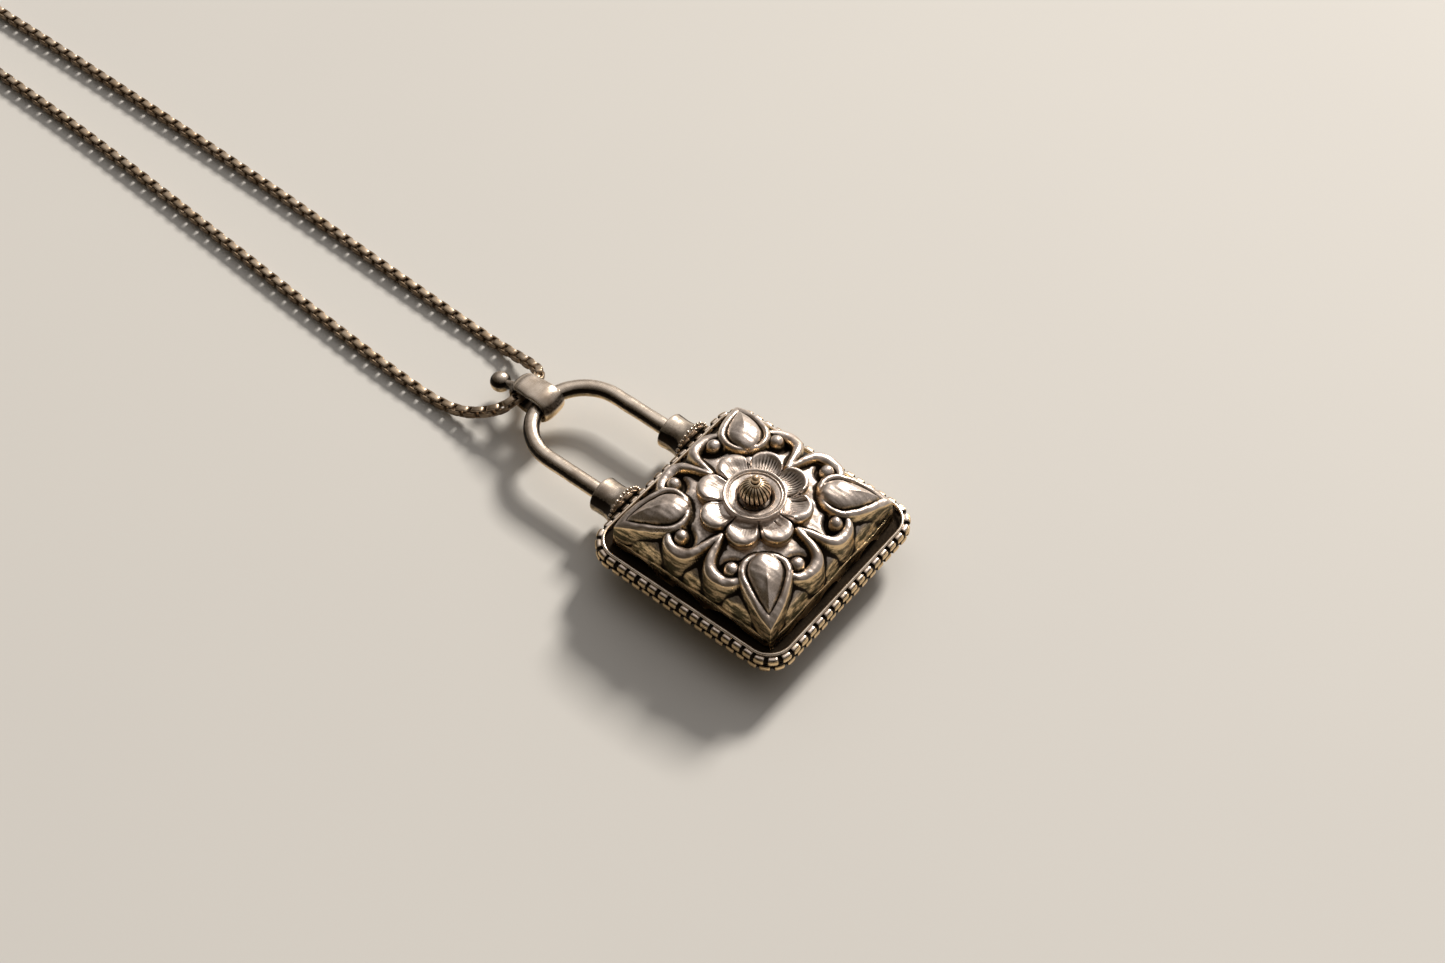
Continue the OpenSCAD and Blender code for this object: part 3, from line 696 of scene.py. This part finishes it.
def make_rosette():
    angles = 720
    angle = np.linspace(0, 2 * math.pi, angles, endpoint=False)
    edge = petal_edge(angle)
    # (share of the way out, height) through the seat, the petal, its rolled rim and the side wall;
    # most petals are puffed up, and those on one side are dished and chased with radial lines
    puffed = smooth_curve([
        (0.28, 0.75), (0.40, 1.02), (0.54, 1.00), (0.62, 1.00), (0.70, 1.14), (0.78, 1.33), (0.86, 1.45),
        (0.93, 1.41), (0.98, 1.20), (1.0, 0.90), (1.0, 0.60), (0.985, 0.30), (0.99, 0.02),
    ], 9)
    dished = smooth_curve([
        (0.28, 0.75), (0.40, 1.02), (0.54, 0.94), (0.62, 0.83), (0.70, 0.79), (0.78, 0.86), (0.86, 1.12),
        (0.93, 1.42), (0.98, 1.32), (1.0, 0.90), (1.0, 0.60), (0.985, 0.30), (0.99, 0.02),
    ], 9)
    share = puffed[:, 0]
    dish = smooth_step(0.35, 0.85, np.cos(angle + 0.2))
    lift = puffed[:, 1:] * (1 - dish) + dished[:, 1:] * dish
    sector = 2 * math.pi / PETALS
    off = abs((angle / sector) % 1 - 0.5) * 2
    notch = smooth_step(0.78, 1.0, off)
    r = share[:, None] * edge[None, :]
    crease = notch[None, :] * smooth_step(0.60, 0.8, share)[:, None]
    z = lift * (1 - 0.34 * crease)
    points = np.stack([r * np.cos(angle), r * np.sin(angle), z], axis=2).reshape(-1, 3)
    chased = np.sin(angle * CHASED_LINES + 1.5 * np.sin(angle * 5)) * smooth_step(0.56, 0.68, share)[:, None]
    chased = chased * (1 - smooth_step(0.82, 0.92, share))[:, None]
    chased = chased * (0.08 + 0.92 * dish)[None, :]
    points[:, 2] += (CHASED_DEEP * chased).ravel() + 0.03 * noise(points, 1.3, 31)
    turned = np.degrees(np.broadcast_to(angle, r.shape)).ravel()
    radius = r.ravel()
    for at, start, stop in CRACKS:
        across = abs((turned - at + 180) % 360 - 180) * math.pi / 180 * radius
        within = (radius > start) & (radius < stop) & (points[:, 2] > 0.6)
        points[:, 2] -= CRACK_DEEP * np.exp(-(across / CRACK_W) ** 2) * within
    points[:, 2] = np.maximum(points[:, 2], 0.0)
    points += (0, CASE_Y, FIELD_Z)
    # Only the side walls get painted gold and olive reflection
    painted_reflection = (smooth_step(0.97, 0.995, share)[:, None] * (lift < 1.1)).ravel()
    ends = np.array([[0, CASE_Y, FIELD_Z + 0.75], [0, CASE_Y, FIELD_Z]])
    count = len(points)
    last = count - angles
    faces = grid_faces(len(share), angles, wrap_columns=True).tolist()
    faces += [[count, (k + 1) % angles, k] for k in range(angles)]
    faces += [[count + 1, last + k, last + (k + 1) % angles] for k in range(angles)]
    make_piece("petal_rosette", np.concatenate([points, ends]), faces, "case", plate_silver,
               "plate_silver", ["rosette"], 0.5, np.append(painted_reflection, [0, 0]))


def make_cup():
    profile = round_profile([
        (0, -0.62), (0.9, -0.62), (1.85, -0.55), (2.1, -0.25), (2.3, 0.02), (2.7, 0.12), (3.0, 0.16),
        (3.14, 0.30), (3.26, 0.24), (3.42, 0.36), (3.62, 0.40), (3.74, 0.24), (3.76, -0.05), (3.7, -0.4),
        (3.4, -0.72), (0, -0.75),
    ], 6)
    points, faces = lathe(profile, 128, (0, CASE_Y, FIELD_Z + ROSETTE_H))
    flat = points - (0, CASE_Y, 0)
    points[:, 2] += 0.035 * noise(flat, 1.8, 41)
    points[:, :2] += 0.03 * noise(flat, 2.5, 42)[:, None]
    make_piece("bead_cup_ring", points, faces, "case", plate_silver, "plate_silver", ["bead_cup"], 0.5)


RIBS, RIB_DEEP = 20, 0.24
FINIAL_R = 0.55


def make_ribbed_bead():
    """A melon bead: round ribs from pole to pole, parted by deep black grooves."""
    low, high = box_mm("ribbed_bead")
    half_wide, half_high = (high[0] - low[0]) / 2, (high[2] - low[2]) / 2
    steps, rings = 480, 56
    up = np.linspace(-math.pi / 2, math.pi / 2, rings)
    profile = np.stack([half_wide * np.cos(up) ** 0.85, half_high * np.sin(up)], axis=1)
    profile[0, 0] = profile[-1, 0] = 0
    points, faces = lathe(profile, steps, (0, 0, 0))
    angle = np.arctan2(points[:, 1], points[:, 0])
    level = np.clip(points[:, 2] / half_high, -1, 1)
    share = abs(np.sin((angle + 0.10 * level) * RIBS / 2))
    rib = np.sqrt(np.clip(1 - (1 - share) ** 2.2, 0, 1))
    deep = RIB_DEEP * (1 - rib) * np.sqrt(np.clip(1 - level ** 10, 0, 1))
    points[:, :2] *= (1 - deep)[:, None]
    points[:, 2] *= 1 - 0.2 * deep
    points += (low + high) / 2
    make_piece("melon_bead", points, faces, "case", bead_copper, "bead_copper", ["ribbed_bead"], 0.25,
               None, smooth_step(0.97, 0.86, rib))


def make_finial():
    low, high = box_mm("bead_finial")
    washer, tall = (high[0] - low[0]) / 2, high[2] - low[2]
    knots = [(0, 0), (washer - 0.2, 0), (washer - 0.04, 0.02), (washer - 0.02, 0.12), (washer - 0.1, 0.21)]
    knots += [(washer - 0.3, 0.25), (0.42, 0.27)]
    middle = tall - FINIAL_R
    knots += [(FINIAL_R * math.cos(t), middle + FINIAL_R * math.sin(t))
              for t in np.radians(np.arange(-24, 90, 12))]
    knots += [(0, tall)]
    points, faces = lathe(round_profile(knots, 4), 48, (0, 0, 0))
    points[:, :2] *= 1 - 0.03 * abs(noise(points, 0.9, 51))[:, None]
    level = points[:, 2] / tall
    points += ((low[0] + high[0]) / 2, (low[1] + high[1]) / 2, low[2])
    # Darker in a band low down, between the washer and the ball
    make_piece("finial_ball", points, faces, "case", bead_copper, "bead_copper", ["bead_finial"], 0.2,
               None, 0.9 * smooth_step(0.42, 0.28, level) * smooth_step(0.16, 0.24, level))


make_rosette()
make_cup()
make_ribbed_bead()
make_finial()


# ---- rim: beaded wires and lip wires ----------------------------------------------

BEADS = 68
# How thick a bead is along its length: shares of its length, and of its full radius
BEAD_AT = np.array([0, 0.08, 0.13, 0.18, 0.26, 0.38, 0.5, 0.62, 0.74, 0.82, 0.87, 0.92])
BEAD_SHAPE = np.array([0.50, 0.54, 0.76, 0.93, 0.99, 1.0, 1.0, 1.0, 0.99, 0.93, 0.76, 0.54])
# Angles round a beaded wire from its top outwards: the crease, and the seam under the front row
CREASE_AT, CREASE_W = 38, 11
SEAM_FROM, SEAM_TO = 105, 128
CREASE_DEEP = 0.16
CORNER_R = 3


def square_line(half, z, at):
    """Points of a rounded square, at given shares of its length, starting at the middle of one side."""
    straight = 2 * (half - CORNER_R)
    bend = math.pi / 2 * CORNER_R
    total = 4 * (straight + bend)
    found = []
    for share in at:
        run = (share * total + straight / 2) % total
        turn, rest = divmod(run, straight + bend)
        if rest < straight:
            x, y = half, rest - straight / 2
        else:
            t = (rest - straight) / CORNER_R
            x, y = half - CORNER_R + CORNER_R * math.cos(t), straight / 2 + CORNER_R * math.sin(t)
        c, s = math.cos(turn * math.pi / 2), math.sin(turn * math.pi / 2)
        found.append((x * c - y * s, x * s + y * c + CASE_Y, z))
    return np.array(found)


def make_beaded_wire(node, name, seed, shift):
    low, high = box_mm(node)
    radius = (high[2] - low[2]) / 2
    half = (high[0] - low[0]) / 2 - radius
    rng = np.random.default_rng(seed)
    slack = rng.normal(0, 0.025, (BEADS, 1))
    at = ((np.arange(BEADS)[:, None] + shift + BEAD_AT + slack) / BEADS).ravel()
    scale = (BEAD_SHAPE * (1 - abs(rng.normal(0, 0.03, (BEADS, 1))))).ravel()
    line = square_line(half, (low[2] + high[2]) / 2, at)
    section = superellipse(radius, radius, 2.7, 32)
    # Each bead has a crease along it, between its top and its outer side
    lean = np.degrees(np.arctan2(section[:, 0], section[:, 1]))
    crease = np.exp(-((lean - CREASE_AT) / CREASE_W) ** 2)
    section = section * (1 - CREASE_DEEP * crease)[:, None]
    points, faces = sweep(line, section, (0, 0, 1), True, scale)
    points += 0.02 * noise(points, 1.1, seed)[:, None] * unit(points - np.repeat(line, len(section), axis=0))
    notch = np.tile(smooth_step(0.985, 0.80, BEAD_SHAPE), BEADS)[:, None]
    # Soot fills the notches between beads and the crease, and painted shade darkens the seam between the two
    # rows: the front row's underside and the side row's top below it
    seam = smooth_step(SEAM_FROM, SEAM_TO, lean) if shift == 0 else smooth_step(60, 38, abs(lean))
    dark = np.maximum(notch, np.maximum(crease * 0.9, seam)[None, :]).ravel()
    # The outer side of each bead, beyond its crease, gets painted gold and olive reflection
    painted_reflection = np.tile(smooth_step(CREASE_AT - CREASE_W, CREASE_AT + CREASE_W, lean), len(line))
    make_piece(name, points, faces, "case", rim_silver, "rim_silver", [node], 0.4, painted_reflection, dark)


def make_lip_wire(node, name, seed):
    low, high = box_mm(node)
    radius = (high[2] - low[2]) / 2
    half = (high[0] - low[0]) / 2 - radius
    at = np.arange(480) / 480
    line = square_line(half, (low[2] + high[2]) / 2, at)
    scale = 1 - 0.06 * abs(noise(line, 3, seed))
    points, faces = sweep(line, superellipse(radius, radius, 2.2, 12), (0, 0, 1), True, scale)
    make_piece(name, points, faces, "case", wire_silver, "wire_silver", [node], 0.3)


make_beaded_wire("beaded_wire_front", "front_beaded_wire", 61, 0)
make_beaded_wire("beaded_wire_side", "side_beaded_wire", 62, 0.45)
make_lip_wire("lip_wire_front", "front_lip_wire", 66)
make_lip_wire("lip_wire_back", "back_lip_wire", 67)


# ---- collars, granules and shackle ---------------------------------------------------

def painted_round_light(level):
    """How much painted reflection and painted shade a round piece gets, by height: -1 at its lowest and 1 at
    its highest.

    The top is left bright, painted shade darkens a band along the side, and the underside is bright again
    with a painted gold reflection."""
    return smooth_step(0.25, 0.0, level), np.clip(1.6 * np.exp(-((level - 0.44) / 0.26) ** 2), 0, 1)


def make_collar(node, name, seed):
    low, high = box_mm(node)
    centre_x, centre_z = (low[0] + high[0]) / 2, (low[2] + high[2]) / 2
    flare = (high[0] - low[0]) / 2
    long = high[1] - low[1]
    r = flare - 0.35
    knots = [
        (0, 0), (flare * 0.7, 0), (flare - 0.05, 0.02), (flare, 0.25), (flare - 0.1, 0.6), (r + 0.06, 1.1),
        (r - 0.06, 1.8), (r - 0.04, long - 0.9), (r, long - 0.35), (r - 0.04, long - 0.08), (r - 0.3, long),
        (r - 0.7, long - 0.06), (r - 0.95, long - 0.35), (0, long - 0.4),
    ]
    points, faces = lathe(round_profile(knots, 5), 72, (0, 0, 0), "y")
    dent = 0.05 * noise(points, 3.4, seed) + 0.012 * noise(points, 1.2, seed + 5)
    away = unit(points * (1, 0, 1))
    inside = smooth_step(0, 0.4, np.hypot(points[:, 0], points[:, 2]) - 0.8)
    points -= (abs(dent) * inside)[:, None] * away
    points += (centre_x, low[1], centre_z)
    # Painted shade along the collar's side and a painted gold reflection under it, by height
    make_piece(name, points, faces, "case", wire_silver, "wire_silver", [node], 0.6,
               *painted_round_light((points[:, 2] - centre_z) / r))


def blob(centre, radii, seed, steps=14, sides=20, uneven=0.08):
    """A slightly uneven ball, as solder leaves it."""
    up = np.linspace(-math.pi / 2, math.pi / 2, steps)
    profile = np.stack([np.cos(up), np.sin(up)], axis=1)
    points, faces = lathe(profile, sides, (0, 0, 0))
    points *= 1 - uneven * abs(noise(points, 1.4, seed))[:, None]
    return points * np.asarray(radii) + np.asarray(centre), faces


def join(parts):
    """Several (points, faces) as one."""
    points, faces, first = [], [], 0
    for p, f in parts:
        points.append(p)
        faces += [[first + i for i in face] for face in f]
        first += len(p)
    return np.concatenate(points), faces


GRAINS, GRAIN_ARC = 13, math.radians(150)


def make_granules():
    """A few uneven solder grains round the front of each collar's foot."""
    low, high = box_mm("granules")
    r = (high[1] - low[1]) / 2
    parts = []
    for side, node in enumerate(("collar_left", "collar_right")):
        at_low, at_high = box_mm(node)
        x, z = (at_low[0] + at_high[0]) / 2, (at_low[2] + at_high[2]) / 2
        ring = (at_high[0] - at_low[0]) / 2 + 0.9 * r
        for i in range(GRAINS):
            angle = GRAIN_ARC * (i / (GRAINS - 1) - 0.5)
            size = r * (1 - 0.15 * ((3 * i + side) % 4) / 3)
            centre = (x + ring * math.sin(angle), low[1] + r, z + ring * math.cos(angle))
            parts.append(blob(centre, (size, size, size), 100 + 20 * side + i))
    points, faces = join(parts)
    make_piece("solder_granules", points, faces, "case", wire_silver, "wire_silver", ["granules"], 0.3)


def make_shackle():
    low, high = box_mm("shackle")
    wire_r = (high[2] - low[2]) / 2
    half = (high[0] - low[0]) / 2 - wire_r
    crown = high[1] - wire_r
    bend_y = crown - half
    z = (low[2] + high[2]) / 2
    legs = np.linspace(low[1], bend_y, 40)[:-1]
    turn = np.linspace(0, math.pi, 90)
    line = np.concatenate([
        np.stack([np.full(39, half), legs, np.full(39, z)], axis=1),
        np.stack([half * np.cos(turn), bend_y + half * np.sin(turn), np.full(90, z)], axis=1),
        np.stack([np.full(39, -half), legs[::-1], np.full(39, z)], axis=1),
    ])
    scale = 1 - 0.05 * abs(noise(line, 5, 81)) - 0.02 * abs(noise(line, 1.7, 82))
    points, faces = sweep(line, superellipse(wire_r, wire_r, 2.15, 28), (0, 0, 1), False, scale)
    # Painted shade along the wire's side and a painted gold reflection under it, by height
    make_piece("shackle_wire", points, faces, "case", wire_silver, "wire_silver", ["shackle"], 0.6,
               *painted_round_light((points[:, 2] - z) / wire_r))


make_collar("collar_left", "left_collar", 72)
make_collar("collar_right", "right_collar", 74)
make_granules()
make_shackle()


# ---- bail ------------------------------------------------------------------------------

BAIL_THICK, BAIL_CROWN = 0.74, 0.16
NECK_R = 0.6


def make_bail():
    low, high = box_mm("bail_band")
    outer = (high[2] - low[2]) / 2
    wide = (high[0] - low[0]) / 2
    z = (low[2] + high[2]) / 2
    start, stop = low[1] + outer, high[1] - outer
    mid_r = outer - BAIL_THICK / 2
    end_r = mid_r * 0.92
    a = np.linspace(math.pi / 2, 3 * math.pi / 2, 40)
    b = np.linspace(-math.pi / 2, math.pi / 2, 40)
    shift = high[1] - BAIL_THICK / 2 - end_r
    loop = np.concatenate([
        np.stack([np.full(40, 0), start + mid_r * np.cos(a), z + mid_r * np.sin(a)], axis=1),
        np.stack([np.full(40, 0), shift + end_r * np.cos(b), z + end_r * np.sin(b)], axis=1),
    ])
    run = along(np.concatenate([loop, loop[:1]]))
    at = np.linspace(0, run[-1], 160, endpoint=False)
    closed = np.concatenate([loop, loop[:1]])
    line = np.stack([np.interp(at, run, closed[:, k]) for k in range(3)], axis=1)
    taper = 1 - 0.12 * smooth_step(start, high[1], line[:, 1])
    ahead = unit(np.roll(line, -1, axis=0) - np.roll(line, 1, axis=0))
    away = np.cross(ahead, (1, 0, 0))
    away *= np.sign((away * (line - (0, (start + stop) / 2, z))).sum(axis=1))[:, None]
    section = superellipse(1, BAIL_THICK / 2, 3.2, 36)
    crown = BAIL_CROWN * (1 - section[:, 0] ** 2)
    across = (section[:, 0] * wide)[None, :, None] * taper[:, None, None] * np.array([1, 0, 0])
    points = (line[:, None, :] + across
              + (section[:, 1] + crown - BAIL_CROWN)[None, :, None] * away[:, None, :])
    points = points.reshape(-1, 3)
    points += 0.02 * noise(points, 1.6, 91)[:, None]
    faces = grid_faces(len(line), len(section), True, True)
    # Painted shade along the band's side and a painted gold reflection under it, by height
    painted_reflection, dark = painted_round_light((points[:, 2] - z) / outer)
    # Painted shade: the inside of the loop is black
    flat = points - (0, (start + stop) / 2, z)
    inside = np.hypot(np.clip(abs(flat[:, 1]) - (stop - start) / 2, 0, None), flat[:, 2]) < mid_r
    make_piece("bail_loop", points, faces, "bail", wire_silver, "wire_silver", ["bail_band"], 0.5,
               painted_reflection, np.maximum(dark, 0.9 * inside))
    ball_low, ball_high = box_mm("bail_ball")
    r = (ball_high[0] - ball_low[0]) / 2
    centre = np.array([0, ball_high[1] - r, ball_low[2] + r])
    ball = blob(centre, (r, r, r), 92, 28, 44, 0.006)
    # The neck runs from inside the band's end to the ball, along a line from the middle of the bend
    bend = np.array([0, stop, z])
    neck_line = np.linspace(bend + unit(centre - bend) * mid_r, centre, 16)
    waist = 1 + 0.35 * np.linspace(-1, 1, 16) ** 2
    neck = sweep(neck_line, superellipse(NECK_R, NECK_R, 2, 24), (1, 0, 0), False, waist)
    points, faces = join([ball, neck])
    # Painted shade along the ball's side and a painted gold reflection under it, by height
    painted_reflection, dark = painted_round_light((points[:, 2] - centre[2]) / r)
    make_piece("bail_end_ball", points, faces, "bail", wire_silver, "wire_silver", ["bail_ball"], 0.3,
               painted_reflection, 0.9 * dark)


make_bail()


# ---- CAD pieces that keep their own shape --------------------------------------------------

def finish_cad_piece(node, material, bevel=0.0):
    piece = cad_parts[node]
    piece.data.materials.clear()
    piece.data.materials.append(material)
    if bevel:
        edge = piece.modifiers.new("soft edges", "BEVEL")
        edge.width = bevel * MM
        edge.segments = 3
        edge.limit_method = "ANGLE"
        edge.harden_normals = True


groove_black = antique_metal("groove_black", SOOT_AND_SHADE, SOOT_AND_SHADE, SOOT_AND_SHADE, SOOT_AND_SHADE, 0.50, 0.6, 0.4)
finish_cad_piece("case_band", groove_black)
finish_cad_piece("bead_pin", bead_copper)
for cad_node in ("end_cap_a", "end_cap_b", "jump_ring_a", "jump_ring_b", "clasp_pin", "clasp_spring"):
    finish_cad_piece(cad_node, clasp_silver)
finish_cad_piece("clasp_body", clasp_silver, 0.18)
finish_cad_piece("clasp_lever", clasp_silver, 0.12)


# ---- floor and light --------------------------------------------------------------------

FLOOR = (0.66, 0.645, 0.615, 1)
FLOOR_CLOUDS = (0.635, 0.62, 0.595, 1)
FLOOR_HALF = 3.0


def make_floor():
    material = bpy.data.materials.new("pale_floor")
    n = Nodes(material)
    clouds = n.speckle(6, 4)
    colour = n.mix(n.stretch(clouds, 0.3, 0.7), FLOOR, FLOOR_CLOUDS)
    shader = n.add("ShaderNodeBsdfPrincipled", {"Base Color": colour, "Roughness": 0.7})
    n.add("ShaderNodeOutputMaterial", {"Surface": shader.outputs[0]})
    size = FLOOR_HALF
    mesh = bpy.data.meshes.new("floor")
    corners = [(-size, -size, 0), (size, -size, 0), (size, size, 0), (-size, size, 0)]
    mesh.from_pydata(corners, [], [(0, 1, 2, 3)])
    mesh.materials.append(material)
    floor = bpy.data.objects.new("floor", mesh)
    bpy.context.scene.collection.objects.link(floor)


def make_light(name, towards, distance, size, power, colour):
    """A square soft light that shines at the pendant from a direction."""
    data = bpy.data.lights.new(name, "AREA")
    data.size = size
    data.energy = power
    data.color = colour
    light = bpy.data.objects.new(name, data)
    bpy.context.scene.collection.objects.link(light)
    back = Vector(towards).normalized()
    light.location = back * distance
    light.rotation_mode = "QUATERNION"
    light.rotation_quaternion = back.to_track_quat("Z", "Y")


ROOM_DARK = (0.10, 0.075, 0.04, 1)
ROOM_PALE = (0.95, 0.91, 0.88, 1)
ROOM_STRENGTH = 0.50
WINDOW = (1.75, 1.68, 1.62, 1)
WINDOW_AT = (0.48, 0.37, 0.79)
KEY_AT = (0.85, 0.10, 0.58)
KEY_AWAY, KEY_SIZE, KEY_POWER = 2.7, 0.54, 92
KEY_COLOUR = (1.0, 0.94, 0.86)


def make_world():
    """A dim room: pale above and to the right, brown and dark at the left."""
    world = bpy.data.worlds.new("room")
    bpy.context.scene.world = world
    n = Nodes(world)
    towards = n.add("ShaderNodeTexCoord").outputs["Generated"]
    right, _, up = n.add("ShaderNodeSeparateXYZ", {0: towards}).outputs
    bright = n.sum("ADD", n.sum("MULTIPLY", right, 0.75), n.sum("MULTIPLY", up, 0.70))
    share = n.stretch(bright, 0.0, 1.0)
    colour = n.mix(share, ROOM_DARK, ROOM_PALE)
    # A wide window, high up on the far side
    window = n.add("ShaderNodeVectorMath", {0: towards, 1: WINDOW_AT},
                   operation="DOT_PRODUCT").outputs["Value"]
    colour = n.mix(n.stretch(window, 0.80, 1.0), colour, WINDOW)
    background = n.add("ShaderNodeBackground", {"Color": colour, "Strength": ROOM_STRENGTH})
    n.add("ShaderNodeOutputWorld", {"Surface": background.outputs[0]})


make_floor()
make_world()
make_light("key", KEY_AT, KEY_AWAY, KEY_SIZE, KEY_POWER, KEY_COLOUR)
bpy.context.scene.view_settings.view_transform = "Standard"
